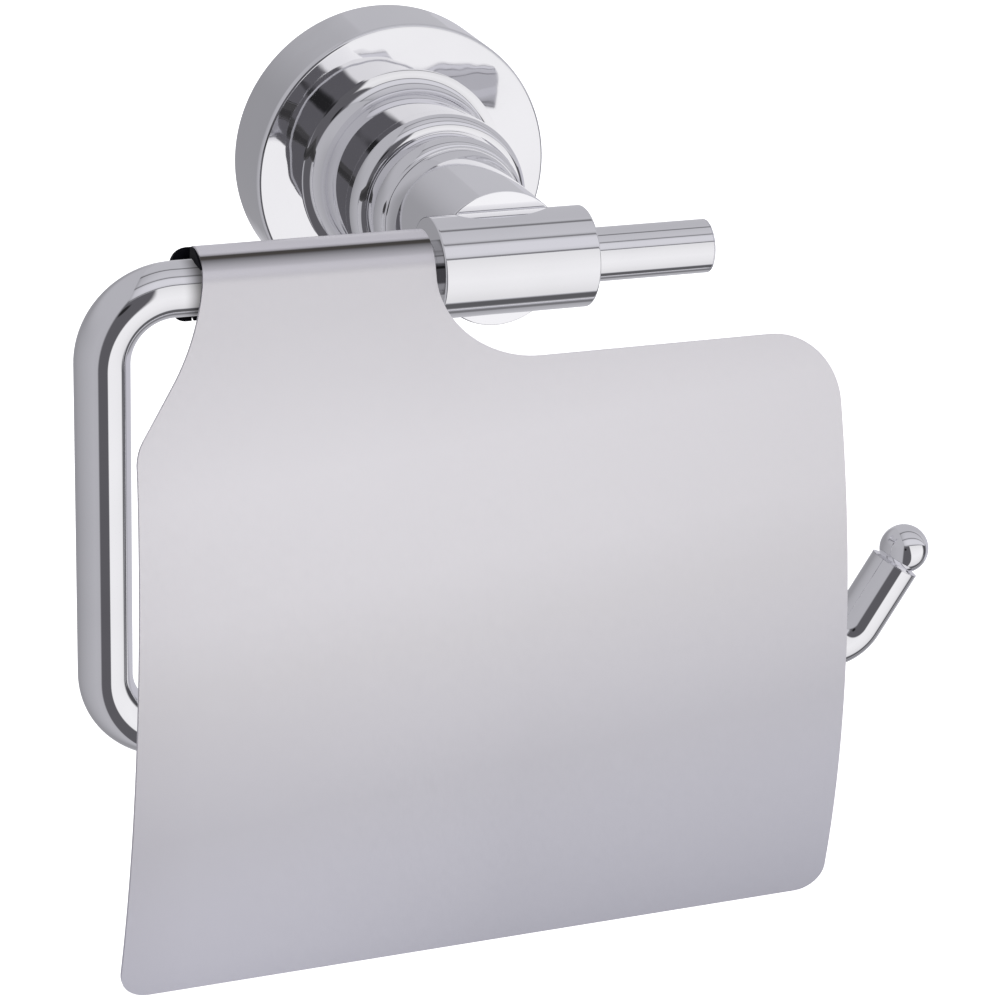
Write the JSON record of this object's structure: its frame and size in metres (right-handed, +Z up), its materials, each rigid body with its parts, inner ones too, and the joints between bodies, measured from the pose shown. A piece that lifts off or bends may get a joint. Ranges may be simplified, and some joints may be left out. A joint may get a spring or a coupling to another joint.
{
  "type": "toilet paper holder",
  "caption": "Chrome toilet paper holder with a round wall rosette, a stepped post, a bent rod with a ball tip and a satin steel lid that swings on the bar.",
  "frame": {"origin": "centre of the rosette on the wall plane", "axes": "X to the right along the bar, Y into the wall, Z up"},
  "size_m": [0.1626, 0.0901, 0.1519],
  "materials": {
    "chrome": "mirror polished chrome plate",
    "zinc": "plain zinc-plated steel",
    "lid_steel": "satin stainless steel sheet",
    "liner_plastic": "black moulded plastic"
  },
  "bodies": {
    "holder": {"wall_plate": "zinc", "rosette": "chrome", "rosette_set_screw": "zinc", "neck_collar": "chrome", "front_collar": "chrome", "post": "chrome", "post_screw": "zinc", "post_washer": "zinc", "sleeve": "chrome", "arm_set_screw": "zinc", "arm_rod": "chrome", "tip_ball": "chrome"},
    "lid_flap": {"hinge_liner": "liner_plastic", "lid": "lid_steel"}
  },
  "joints": [
    {"name": "lid_hinge", "type": "hinge", "parent": "holder", "child": "lid_flap", "pos_m": [-0.0345, -0.068, 0], "axis": [-1, 0, 0], "range_deg": [-11, 180]}
  ]
}
